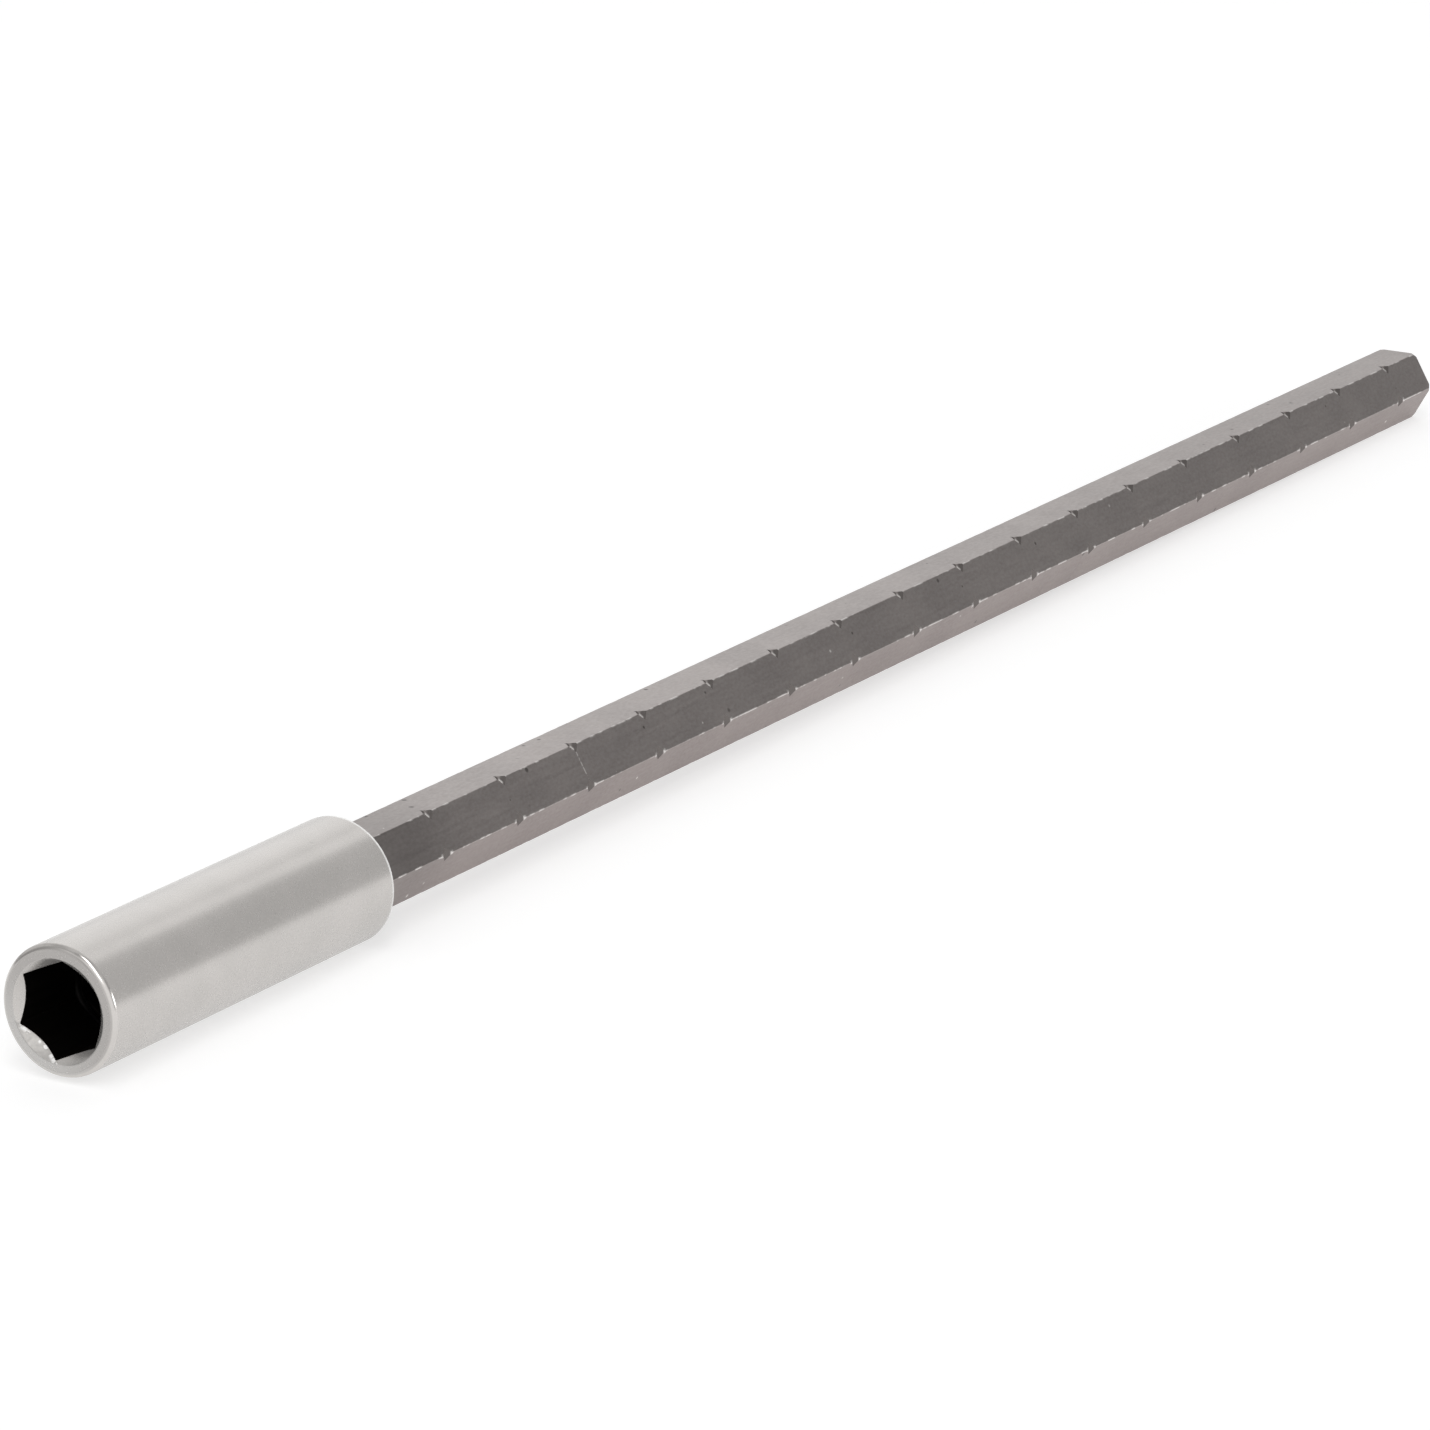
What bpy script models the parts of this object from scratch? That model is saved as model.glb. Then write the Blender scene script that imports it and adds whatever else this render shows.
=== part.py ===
"""Bit holder: a notched hexagon shank with a round sleeve that takes 1/4 inch hexagon bits.

The tool's axis is world X. X = 0 is the bit seat, the mouth faces -X and the shank's tail points to +X.
Each piece is modelled along its own Z and hangs on the empty tool_axis, which turns Z to world X, so
heights below are distances along the tool from the bit seat towards the tail.
"""
import math

import bmesh
import bpy
from mathutils import Matrix

MM = 0.001

# Hexagon socket
SOCKET_AF = 6.4 * MM                 # across flats, for a 6.35 mm bit
SOCKET_DEPTH = 13.0 * MM             # from the mouth to the bit seat
SOCKET_TURN = math.radians(-24.0)    # of the socket's hexagon against the shank's
SOCKET_RELIEF = 0.2 * MM             # how far the hexagon runs past the bit seat
COUNTERSINK_LAND = 0.15 * MM         # of the countersink past the socket's corners

# Sleeve
SLEEVE_LENGTH = 34.7 * MM
GROOVE_WALL = 0.65 * MM              # left outside the ring groove
RIM_FILLET = 0.5 * MM
REAR_CHAMFER = 0.25 * MM
BORE_CHAMFER = 0.3 * MM

# Retaining ring and its groove
RING_WIRE = 0.6 * MM
RING_SETBACK = 0.1 * MM              # of the ring's inside behind the socket's flats
RING_ROOM = 0.3 * MM                 # round the ring, for it to open when a bit goes in
RING_SIDE_GAP = 0.15 * MM            # between the wire and each side of the groove
RING_FROM_SEAT = 6.0 * MM
RING_OPENING = math.radians(50.0)    # of the C, at the top of the tool as it lies

# Magnet
MAGNET_STEP = 0.5 * MM               # of the magnet's side inside the socket's flats
MAGNET_LENGTH = 5.0 * MM
MAGNET_CHAMFER = 0.2 * MM

# Hexagon shank
SHANK_AF = 6.0 * MM
SHANK_CORNER_RADIUS = 0.1 * MM
FIRST_NOTCH = 9.1 * MM               # behind the sleeve
NOTCH_PITCH = 10.0 * MM
NOTCH_COUNT = 17
NOTCH_LENGTH = 1.25 * MM
NOTCH_DEPTH = 0.3 * MM
PLAIN_CORNER = math.radians(150.0)   # of one of the two opposite corners that have no notches
TAIL_LENGTH = 6.2 * MM               # from the last notch to the end
TAIL_CHAMFER = 0.15 * MM             # on the corners of the end, towards the axis
TAIL_CHAMFER_LENGTH = 0.3 * MM       # of that chamfer along the axis

# Ribbed spigot on the shank, pressed into the sleeve
RIB_COUNT = 30
RIB_DEPTH = 0.12 * MM
PILOT_LENGTH = 2.0 * MM              # of the plain end in front of the ribs

# Clearances between pieces that touch
PRESS_GAP = 0.05 * MM
SEAT_GAP = 0.05 * MM

# Fineness of the round shapes
TURN_STEPS = 64
FILLET_STEPS = 5
CORNER_STEPS = 2
RING_POINTS = 48
MERGE_DISTANCE = 1e-6
CUT_OVERRUN = 2.0 * MM               # of a cutter past the surface it cuts

# Radii and heights that follow from the sizes above
COS_30 = math.cos(math.radians(30.0))
SOCKET_CORNER = SOCKET_AF / 2 / COS_30
RING_RADIUS = SOCKET_AF / 2 + RING_SETBACK + RING_WIRE / 2
GROOVE_RADIUS = RING_RADIUS + RING_WIRE / 2 + RING_ROOM
GROOVE_HALF_WIDTH = RING_WIRE / 2 + RING_SIDE_GAP
SLEEVE_RADIUS = GROOVE_RADIUS + GROOVE_WALL
MAGNET_RADIUS = SOCKET_AF / 2 - MAGNET_STEP
BORE_RADIUS = MAGNET_RADIUS + PRESS_GAP
SPIGOT_RADIUS = BORE_RADIUS - PRESS_GAP
SHANK_CORNER = SHANK_AF / 2 / COS_30
SHANK_EDGE = SHANK_CORNER - SHANK_CORNER_RADIUS * (1.0 / COS_30 - 1.0)

MOUTH = -SOCKET_DEPTH
SLEEVE_REAR = MOUTH + SLEEVE_LENGTH
SPIGOT_FRONT = MAGNET_LENGTH + SEAT_GAP
SHOULDER = SLEEVE_REAR + SEAT_GAP
FIRST_NOTCH_AT = SLEEVE_REAR + FIRST_NOTCH
TAIL = FIRST_NOTCH_AT + (NOTCH_COUNT - 1) * NOTCH_PITCH + TAIL_LENGTH


def clear_scene():
    for obj in list(bpy.data.objects):
        bpy.data.objects.remove(obj, do_unlink=True)


def make_collection(name):
    collection = bpy.data.collections.new(name)
    bpy.context.scene.collection.children.link(collection)
    return collection


def make_material(name, colour, roughness):
    material = bpy.data.materials.new(name)
    material.use_nodes = True
    shader = material.node_tree.nodes["Principled BSDF"]
    shader.inputs["Base Color"].default_value = (*colour, 1.0)
    shader.inputs["Roughness"].default_value = roughness
    shader.inputs["Metallic"].default_value = 1.0
    return material


def place(name, data, collection, axis, height=0.0):
    """Puts an object on the tool's axis, at a height along it."""
    obj = bpy.data.objects.new(name, data)
    obj.parent = axis
    obj.location.z = height
    collection.objects.link(obj)
    return obj


def place_cutter(name, data, collection, axis, height=0.0):
    cutter = place(name, data, collection, axis, height)
    cutter.hide_render = True
    cutter.display_type = "WIRE"
    return cutter


def add_boolean(obj, tool, operation):
    boolean = obj.modifiers.new(tool.name, "BOOLEAN")
    boolean.operation = operation
    boolean.solver = "EXACT"
    boolean.object = tool


def add_turning(obj, steps):
    screw = obj.modifiers.new("turning", "SCREW")
    screw.steps = steps
    screw.render_steps = steps
    screw.use_merge_vertices = True
    screw.merge_threshold = MERGE_DISTANCE


def profile_mesh(name, points):
    """Makes a closed profile of (radius, height) points, outer side first, from the tail to the mouth."""
    mesh = bpy.data.meshes.new(name)
    count = len(points)
    edges = [(i, (i + 1) % count) for i in range(count)]
    mesh.from_pydata([(radius, 0.0, height) for radius, height in points], edges, [])
    return mesh


def prism_mesh(name, radius, low, high, sides):
    """Makes a prism between two heights, with its corners at the given radius."""
    mesh = bpy.data.meshes.new(name)
    shape = bmesh.new()
    depth = high - low
    bmesh.ops.create_cone(shape, cap_ends=True, segments=sides, radius1=radius, radius2=radius, depth=depth)
    bmesh.ops.translate(shape, verts=shape.verts, vec=(0.0, 0.0, (low + high) / 2))
    shape.to_mesh(mesh)
    shape.free()
    return mesh


def arc(centre_radius, centre_height, radius, start, end, steps):
    """Points of an arc in a profile, with its ends."""
    turn = end - start
    angles = [start + turn * i / steps for i in range(steps + 1)]
    return [(centre_radius + radius * math.cos(a), centre_height + radius * math.sin(a)) for a in angles]


def round_prism_corners(mesh, radius, steps):
    """Rounds the long edges of a hexagon prism."""
    shape = bmesh.new()
    shape.from_mesh(mesh)
    long_edges = [e for e in shape.edges if abs(e.verts[0].co.z - e.verts[1].co.z) > radius]
    setback = radius * math.tan(math.radians(30.0))
    bmesh.ops.bevel(shape, geom=long_edges, offset=setback, segments=steps, profile=0.5, affect="EDGES")
    shape.to_mesh(mesh)
    shape.free()


def sleeve_profile():
    """Turned shape of the sleeve, with its bore, ring groove and countersink."""
    countersink = SOCKET_CORNER + COUNTERSINK_LAND
    groove_front = -RING_FROM_SEAT - GROOVE_HALF_WIDTH
    groove_rear = -RING_FROM_SEAT + GROOVE_HALF_WIDTH
    points = [(SLEEVE_RADIUS - REAR_CHAMFER, SLEEVE_REAR), (SLEEVE_RADIUS, SLEEVE_REAR - REAR_CHAMFER)]
    points += arc(SLEEVE_RADIUS - RIM_FILLET, MOUTH + RIM_FILLET, RIM_FILLET, 0.0, -math.pi / 2, FILLET_STEPS)
    points += [
        (countersink, MOUTH),
        (BORE_RADIUS, MOUTH + countersink - BORE_RADIUS),
        (BORE_RADIUS, groove_front),
        (GROOVE_RADIUS, groove_front),
        (GROOVE_RADIUS, groove_rear),
        (BORE_RADIUS, groove_rear),
        (BORE_RADIUS, SLEEVE_REAR - BORE_CHAMFER),
        (BORE_RADIUS + BORE_CHAMFER, SLEEVE_REAR),
    ]
    return points


def make_sleeve(parts, cutters, axis):
    """Turned sleeve with the hexagon socket cut into its front."""
    sleeve = place("socket_sleeve", profile_mesh("socket_sleeve", sleeve_profile()), parts, axis)
    add_turning(sleeve, TURN_STEPS)
    hexagon = prism_mesh("socket_cutter", SOCKET_CORNER, MOUTH - CUT_OVERRUN, SOCKET_RELIEF, 6)
    cutter = place_cutter("socket_cutter", hexagon, cutters, axis)
    cutter.rotation_euler.z = SOCKET_TURN
    add_boolean(sleeve, cutter, "DIFFERENCE")
    sleeve.data.materials.append(make_material("satin_plating", (0.60, 0.60, 0.57), 0.38))


def make_spigot(cutters, axis):
    """Ribbed cylinder that the press fit grips, reaching into the hexagon to join it."""
    ribs_front = SPIGOT_FRONT + PILOT_LENGTH
    mesh = prism_mesh("spigot_ribs", SPIGOT_RADIUS, ribs_front, SHOULDER + CUT_OVERRUN, 2 * RIB_COUNT)
    step = math.pi / RIB_COUNT
    for vertex in mesh.vertices:
        place_in_turn = round(math.atan2(vertex.co.y, vertex.co.x) / step)
        if place_in_turn % 2:
            vertex.co.xy *= 1.0 - RIB_DEPTH / SPIGOT_RADIUS
    return place_cutter("spigot_ribs", mesh, cutters, axis)


def make_notch_bars(cutters, axis):
    """Rows of diamond bars across four of the six corners, centred on the edges that they cut."""
    shape = bmesh.new()
    squash = Matrix.Diagonal((NOTCH_DEPTH, SHANK_AF / 2, NOTCH_LENGTH / 2, 1.0))
    across = Matrix.Rotation(math.pi / 2, 4, "X")
    for corner in (1, 2, 4, 5):
        turn = Matrix.Rotation(PLAIN_CORNER + corner * math.pi / 3, 4, "Z")
        lie = turn @ Matrix.Translation((SHANK_EDGE, 0.0, 0.0)) @ squash @ across
        bar = {"segments": 4, "radius1": 1.0, "radius2": 1.0, "depth": 1.0, "matrix": lie}
        bmesh.ops.create_cone(shape, cap_ends=True, **bar)
    mesh = bpy.data.meshes.new("notch_bars")
    shape.to_mesh(mesh)
    shape.free()
    bars = place_cutter("notch_bars", mesh, cutters, axis, FIRST_NOTCH_AT)
    row = bars.modifiers.new("row", "ARRAY")
    row.use_relative_offset = False
    row.use_constant_offset = True
    row.constant_offset_displace = (0.0, 0.0, NOTCH_PITCH)
    row.count = NOTCH_COUNT
    return bars


def make_tail_chamfer(cutters, axis):
    """Turned ring that breaks the corners of the tail's end."""
    end_radius = SHANK_EDGE - TAIL_CHAMFER
    outside = SHANK_EDGE + CUT_OVERRUN
    slope = TAIL_CHAMFER_LENGTH / TAIL_CHAMFER
    profile = [
        (outside, TAIL + CUT_OVERRUN),
        (outside, TAIL - (outside - end_radius) * slope),
        (end_radius - CUT_OVERRUN / slope, TAIL + CUT_OVERRUN),
    ]
    chamfer = place_cutter("tail_chamfer", profile_mesh("tail_chamfer", profile), cutters, axis)
    add_turning(chamfer, TURN_STEPS)
    return chamfer


def make_shank(parts, cutters, axis):
    """Hexagon bar with its spigot, corner nicks and chamfered tail."""
    mesh = prism_mesh("hex_shank", SHANK_CORNER, SHOULDER, TAIL, 6)
    round_prism_corners(mesh, SHANK_CORNER_RADIUS, CORNER_STEPS)
    shank = place("hex_shank", mesh, parts, axis)
    pilot_radius = SPIGOT_RADIUS - RIB_DEPTH
    pilot = prism_mesh("spigot_pilot", pilot_radius, SPIGOT_FRONT, SHOULDER + CUT_OVERRUN, 2 * RIB_COUNT)
    add_boolean(shank, make_spigot(cutters, axis), "UNION")
    add_boolean(shank, place_cutter("spigot_pilot", pilot, cutters, axis), "UNION")
    add_boolean(shank, make_notch_bars(cutters, axis), "DIFFERENCE")
    add_boolean(shank, make_tail_chamfer(cutters, axis), "DIFFERENCE")
    mesh.materials.append(make_material("grey_tool_steel", (0.24, 0.23, 0.22), 0.45))


def make_magnet(parts, axis):
    """Round magnet whose front face is the bit seat."""
    profile = [
        (0.0, MAGNET_LENGTH),
        (MAGNET_RADIUS - MAGNET_CHAMFER, MAGNET_LENGTH),
        (MAGNET_RADIUS, MAGNET_LENGTH - MAGNET_CHAMFER),
        (MAGNET_RADIUS, MAGNET_CHAMFER),
        (MAGNET_RADIUS - MAGNET_CHAMFER, 0.0),
        (0.0, 0.0),
    ]
    mesh = bpy.data.meshes.new("magnet")
    edges = [(i, i + 1) for i in range(len(profile) - 1)]
    mesh.from_pydata([(radius, 0.0, height) for radius, height in profile], edges, [])
    magnet = place("magnet", mesh, parts, axis)
    add_turning(magnet, TURN_STEPS)
    mesh.materials.append(make_material("magnet_plating", (0.55, 0.55, 0.56), 0.30))


def make_ring(parts, axis):
    """C-shaped wire ring, loose in its groove, with its opening at the top."""
    curve = bpy.data.curves.new("retaining_ring", "CURVE")
    curve.dimensions = "3D"
    curve.bevel_depth = RING_WIRE / 2
    curve.bevel_resolution = 2
    curve.use_fill_caps = True
    spline = curve.splines.new("POLY")
    spline.points.add(RING_POINTS - 1)
    start = math.pi + RING_OPENING / 2
    turn = 2 * math.pi - RING_OPENING
    for i, point in enumerate(spline.points):
        angle = start + turn * i / (RING_POINTS - 1)
        point.co = (RING_RADIUS * math.cos(angle), RING_RADIUS * math.sin(angle), 0.0, 1.0)
    place("retaining_ring", curve, parts, axis, -RING_FROM_SEAT)
    curve.materials.append(make_material("spring_wire", (0.20, 0.20, 0.21), 0.35))


def main():
    clear_scene()
    parts = make_collection("bit_holder")
    cutters = make_collection("cutters")
    axis = bpy.data.objects.new("tool_axis", None)
    axis.rotation_euler.y = math.pi / 2
    parts.objects.link(axis)
    make_sleeve(parts, cutters, axis)
    make_shank(parts, cutters, axis)
    make_magnet(parts, axis)
    make_ring(parts, axis)


main()
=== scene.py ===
"""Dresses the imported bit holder: a plated socket sleeve on a long, nicked hexagon shank.

The tool lies along X, with the socket's mouth at -X. All sizes are in metres. Pieces are modelled upright,
with the tool's axis along Z, and then laid along X.
"""
import logging
import math
from dataclasses import dataclass, field
from enum import Enum
from functools import cached_property

import bmesh
import bpy
from mathutils import Euler, Matrix, Vector


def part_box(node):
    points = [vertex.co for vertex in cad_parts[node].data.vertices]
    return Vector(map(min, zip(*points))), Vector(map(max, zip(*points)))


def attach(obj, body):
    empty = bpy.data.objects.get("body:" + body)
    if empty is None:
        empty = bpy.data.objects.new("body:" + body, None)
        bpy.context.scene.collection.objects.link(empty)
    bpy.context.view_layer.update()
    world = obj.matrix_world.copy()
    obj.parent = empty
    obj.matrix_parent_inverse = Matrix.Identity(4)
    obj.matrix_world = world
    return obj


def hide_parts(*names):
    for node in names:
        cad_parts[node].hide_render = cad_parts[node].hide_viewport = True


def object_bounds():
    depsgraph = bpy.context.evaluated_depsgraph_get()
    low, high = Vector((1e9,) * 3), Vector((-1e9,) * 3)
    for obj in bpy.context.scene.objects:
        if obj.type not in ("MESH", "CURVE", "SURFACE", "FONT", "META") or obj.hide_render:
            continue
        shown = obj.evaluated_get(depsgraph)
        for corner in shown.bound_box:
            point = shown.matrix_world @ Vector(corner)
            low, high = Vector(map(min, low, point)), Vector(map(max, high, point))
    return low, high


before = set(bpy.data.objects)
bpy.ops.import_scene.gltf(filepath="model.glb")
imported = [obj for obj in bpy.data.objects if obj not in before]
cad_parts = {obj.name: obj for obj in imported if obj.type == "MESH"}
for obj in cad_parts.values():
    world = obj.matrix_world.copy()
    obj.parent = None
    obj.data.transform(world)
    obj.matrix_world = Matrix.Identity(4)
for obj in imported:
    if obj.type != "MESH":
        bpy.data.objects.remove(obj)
CAD_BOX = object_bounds()

Object = bpy.types.Object
Material = bpy.types.Material
Socket = bpy.types.NodeSocket
Outputs = bpy.types.NodeOutputs
Points = list[tuple[float, float]]
Colour = tuple[float, float, float]
Way = tuple[float, float, float]

LOG = logging.getLogger("bit_holder")
MM = 0.001
TOUCHING = 0.0001 * MM
SEAT_GAP = 0.05 * MM
COS_30 = math.cos(math.radians(30.0))
SIXTH_TURN = math.pi / 3
TO_TAIL: Way = (1.0, 0.0, 0.0)
TO_BACK: Way = (0.0, 1.0, 0.0)
UP: Way = (0.0, 0.0, 1.0)


class Body(Enum):
    """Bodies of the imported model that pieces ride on."""

    HOLDER = "holder"
    RING = "ring"


class Node(Enum):
    """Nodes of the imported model, each with the material slot that it belongs to."""

    SLEEVE = ("socket_sleeve", "sleeve_plating")
    SHANK = ("hex_shank", "shank_steel")
    MAGNET = ("magnet", "magnet_plating")
    RING = ("retaining_ring", "ring_wire")

    @property
    def label(self) -> str:
        """Name of the node."""
        return self.value[0]

    @property
    def slot(self) -> str:
        """Name of its material slot."""
        return self.value[1]


class Cut(Enum):
    """What a Boolean does with its tool."""

    AWAY = "DIFFERENCE"
    JOIN = "UNION"


def around(angle: float) -> Way:
    """Direction from the tool's axis at an angle in degrees, from the back upwards."""
    return (0.0, math.cos(math.radians(angle)), math.sin(math.radians(angle)))


def link(obj: Object) -> Object:
    """Links an object to the scene and hands it back."""
    bpy.context.scene.collection.objects.link(obj)
    return obj


def from_shape(name: str, shape: bmesh.types.BMesh) -> Object:
    """Turns a finished construction into an object.

    Args:
        name: Name of the object.
        shape: The construction, which is used up.

    Returns:
        The object.
    """
    mesh = bpy.data.meshes.new(name)
    shape.to_mesh(mesh)
    shape.free()
    return link(bpy.data.objects.new(name, mesh))


def settle(obj: Object) -> None:
    """Turns an object's modifiers into its own mesh.

    Args:
        obj: Object whose modifiers are applied.
    """
    mesh = bpy.data.meshes.new_from_object(obj.evaluated_get(bpy.context.evaluated_depsgraph_get()))
    obj.modifiers.clear()
    obj.data = mesh


def turned(name: str, profile: Points, steps: int, closed: bool) -> Object:
    """Turns a profile about the tool's axis.

    Args:
        name: Name of the object.
        profile: Points of (radius, height), down the outer side first.
        steps: Sides of the round shape.
        closed: Whether the last point joins the first, as on a tube.

    Returns:
        The turned object.
    """
    mesh = bpy.data.meshes.new(name)
    count = len(profile)
    edges = [(i, (i + 1) % count) for i in range(count if closed else count - 1)]
    mesh.from_pydata([(radius, 0.0, height) for radius, height in profile], edges, [])
    obj = link(bpy.data.objects.new(name, mesh))
    screw = obj.modifiers.new("turning", "SCREW")
    screw.steps = steps
    screw.render_steps = steps
    screw.use_merge_vertices = True
    screw.merge_threshold = TOUCHING
    settle(obj)
    return obj


def prism(name: str, outline: Points, low: float, high: float) -> Object:
    """Extrudes an outline along the tool's axis.

    Args:
        name: Name of the object.
        outline: Corners in order.
        low: Height of the lower end.
        high: Height of the upper end.

    Returns:
        The prism.
    """
    shape = bmesh.new()
    base = shape.faces.new([shape.verts.new((x, y, low)) for x, y in outline])
    raised = bmesh.ops.extrude_face_region(shape, geom=[base])
    verts = [item for item in raised["geom"] if isinstance(item, bmesh.types.BMVert)]
    bmesh.ops.translate(shape, verts=verts, vec=(0.0, 0.0, high - low))
    bmesh.ops.recalc_face_normals(shape, faces=shape.faces)
    return from_shape(name, shape)


def arc(centre: tuple[float, float], radius: float, start: float, end: float, steps: int) -> Points:
    """Points of an arc.

    Args:
        centre: Its centre.
        radius: Its radius.
        start: First angle in degrees.
        end: Last angle in degrees.
        steps: Points, less one.

    Returns:
        The points with both ends.
    """
    angles = [math.radians(start + (end - start) * i / steps) for i in range(steps + 1)]
    return [(centre[0] + radius * math.cos(a), centre[1] + radius * math.sin(a)) for a in angles]


def hexagon(flats: float, corner_radius: float, steps: int, turn: float = 0.0) -> Points:
    """Outline of a hexagon with round corners, a flat facing +X before it is turned.

    Args:
        flats: Size across flats.
        corner_radius: Radius of its corners.
        steps: Points on a corner, less one.
        turn: Angle that the outline is turned by.

    Returns:
        Points in order.
    """
    points = []
    reach = (flats / 2 - corner_radius) / COS_30
    for corner in range(6):
        middle = 30.0 + 60.0 * corner + math.degrees(turn)
        way = math.radians(middle)
        centre = (reach * math.cos(way), reach * math.sin(way))
        points += arc(centre, corner_radius, middle - 30.0, middle + 30.0, steps)
    return points


def combine(obj: Object, tool: Object, kind: Cut) -> None:
    """Cuts or joins an object with a tool, which is used up.

    Args:
        obj: Object that changes.
        tool: Object that cuts it or joins it.
        kind: What the tool does.
    """
    boolean = obj.modifiers.new("combine", "BOOLEAN")
    boolean.operation = kind.value
    boolean.solver = "EXACT"
    boolean.object = tool
    settle(obj)
    bpy.data.objects.remove(tool, do_unlink=True)


def soften(obj: Object, width: float, angle: float) -> None:
    """Rounds the outer edges that are sharper than an angle.

    Args:
        obj: Object to round.
        width: Width of the rounding, which Blender narrows where edges lie close together.
        angle: Smallest angle of an edge, in degrees.
    """
    shape = bmesh.new()
    shape.from_mesh(obj.data)
    weights = shape.edges.layers.float.new("bevel_weight_edge")
    for edge in shape.edges:
        if len(edge.link_faces) == 2 and edge.calc_face_angle_signed() > math.radians(angle):
            edge[weights] = 1.0
    shape.to_mesh(obj.data)
    shape.free()
    bevel = obj.modifiers.new("soften", "BEVEL")
    bevel.width = width
    bevel.segments = 2
    bevel.limit_method = "WEIGHT"
    settle(obj)


def empty_slots(obj: Object, count: int) -> None:
    """Gives an object empty material slots.

    Args:
        obj: The object.
        count: How many slots it gets.
    """
    obj.data.materials.clear()
    for _ in range(count):
        obj.data.materials.append(None)


def lay_and_shade(obj: Object, sharp_angle: float) -> None:
    """Lays a piece along X, shades it smooth and evens its normals.

    Args:
        obj: Upright piece.
        sharp_angle: Edges sharper than this many degrees stay sharp.
    """
    mesh = obj.data
    mesh.transform(Matrix.Rotation(math.pi / 2, 4, "Y"))
    mesh.shade_smooth()
    mesh.set_sharp_from_angle(angle=math.radians(sharp_angle))
    normals = obj.modifiers.new("even normals", "WEIGHTED_NORMAL")
    normals.keep_sharp = True
    normals.weight = 100


class Nodes:
    """Short way to add and wire nodes in a tree."""

    def __init__(self, tree: bpy.types.NodeTree) -> None:
        """Keeps the tree."""
        self.tree = tree

    def add(self, kind: str, label: str = "", inputs: tuple = (), **values: object) -> bpy.types.Node:
        """Adds a node.

        Args:
            kind: Its Blender type.
            label: What it does here, or nothing.
            inputs: What goes into its first inputs, in order.
            **values: Properties to set on it.

        Returns:
            The node.
        """
        node = self.tree.nodes.new(kind)
        node.label = label
        for key, value in values.items():
            setattr(node, key, value)
        for socket, value in zip(node.inputs, inputs):
            self.feed(socket, value)
        return node

    def feed(self, socket: Socket, value: object) -> None:
        """Links a socket to an output, or sets it to a value.

        Args:
            socket: Input to set.
            value: An output, a number, a vector or a colour.
        """
        source = value.socket if isinstance(value, Value) else value
        if isinstance(source, Socket):
            self.tree.links.new(source, socket)
        elif socket.type == "RGBA":
            socket.default_value = (*source, 1.0)
        else:
            socket.default_value = source

    def fill(self, node: bpy.types.Node, **values: object) -> Outputs:
        """Feeds some of a node's inputs.

        Args:
            node: The node.
            **values: What goes into each input, with _ for a space in its name.

        Returns:
            The node's outputs.
        """
        for key, value in values.items():
            self.feed(node.inputs[key.replace("_", " ")], value)
        return node.outputs

    def math(self, operation: str, *inputs: object) -> "Value":
        """Works out a number."""
        return Value(self, self.add("ShaderNodeMath", inputs=inputs, operation=operation).outputs["Value"])

    def vector(self, operation: str, *inputs: object) -> Outputs:
        """Works out a vector or a measure of vectors."""
        return self.add("ShaderNodeVectorMath", inputs=inputs, operation=operation).outputs

    def along(self, vector: Socket, way: Way) -> "Value":
        """Measures a vector along a direction."""
        return Value(self, self.vector("DOT_PRODUCT", vector, way)["Value"])

    def noise(self, place: Socket, scale: object, detail: float) -> "Value":
        """Adds a noise texture."""
        noise = self.add("ShaderNodeTexNoise")
        return Value(self, self.fill(noise, Vector=place, Scale=scale, Detail=detail)["Fac"])

    def lay(self, colour: object, *coats: tuple) -> Socket:
        """Lays coats of colour over a colour, one after the other.

        Args:
            colour: Colour below.
            *coats: What each coat shows, its mask and its colour.

        Returns:
            The colour on top.
        """
        for label, mask, tint in coats:
            node = self.add("ShaderNodeMix", label, data_type="RGBA")
            factor_a_and_b = (node.inputs[0], node.inputs[6], node.inputs[7])
            for socket, value in zip(factor_a_and_b, (mask, colour, tint)):
                self.feed(socket, value)
            colour = node.outputs[2]
        return colour


@dataclass(frozen=True)
class Value:
    """Number that varies over a surface. Sums and products of such numbers add Math nodes."""

    nodes: Nodes
    socket: Socket

    def __add__(self, other: object) -> "Value":
        """Sum of two numbers."""
        return self.nodes.math("ADD", self, other)

    def __sub__(self, other: object) -> "Value":
        """Difference of two numbers."""
        return self.nodes.math("SUBTRACT", self, other)

    def __rsub__(self, other: object) -> "Value":
        """What is left of a plain number."""
        return self.nodes.math("SUBTRACT", other, self)

    def __mul__(self, other: object) -> "Value":
        """Product of two numbers."""
        return self.nodes.math("MULTIPLY", self, other)

    def __or__(self, other: object) -> "Value":
        """Larger of two numbers, which joins masks."""
        return self.nodes.math("MAXIMUM", self, other)

    def __abs__(self) -> "Value":
        """The number without its sign."""
        return self.nodes.math("ABSOLUTE", self)

    def ramp(self, low: object, high: object, start: float = 0.0, end: float = 1.0) -> "Value":
        """Smooth step of the number.

        Args:
            low: Number that gives start.
            high: Number that gives end.
            start: Result at low.
            end: Result at high.

        Returns:
            The result.
        """
        node = self.nodes.add("ShaderNodeMapRange", interpolation_type="SMOOTHSTEP")
        ends = {"From_Min": low, "From_Max": high, "To_Min": start, "To_Max": end}
        return Value(self.nodes, self.nodes.fill(node, Value=self, **ends)["Result"])


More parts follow.
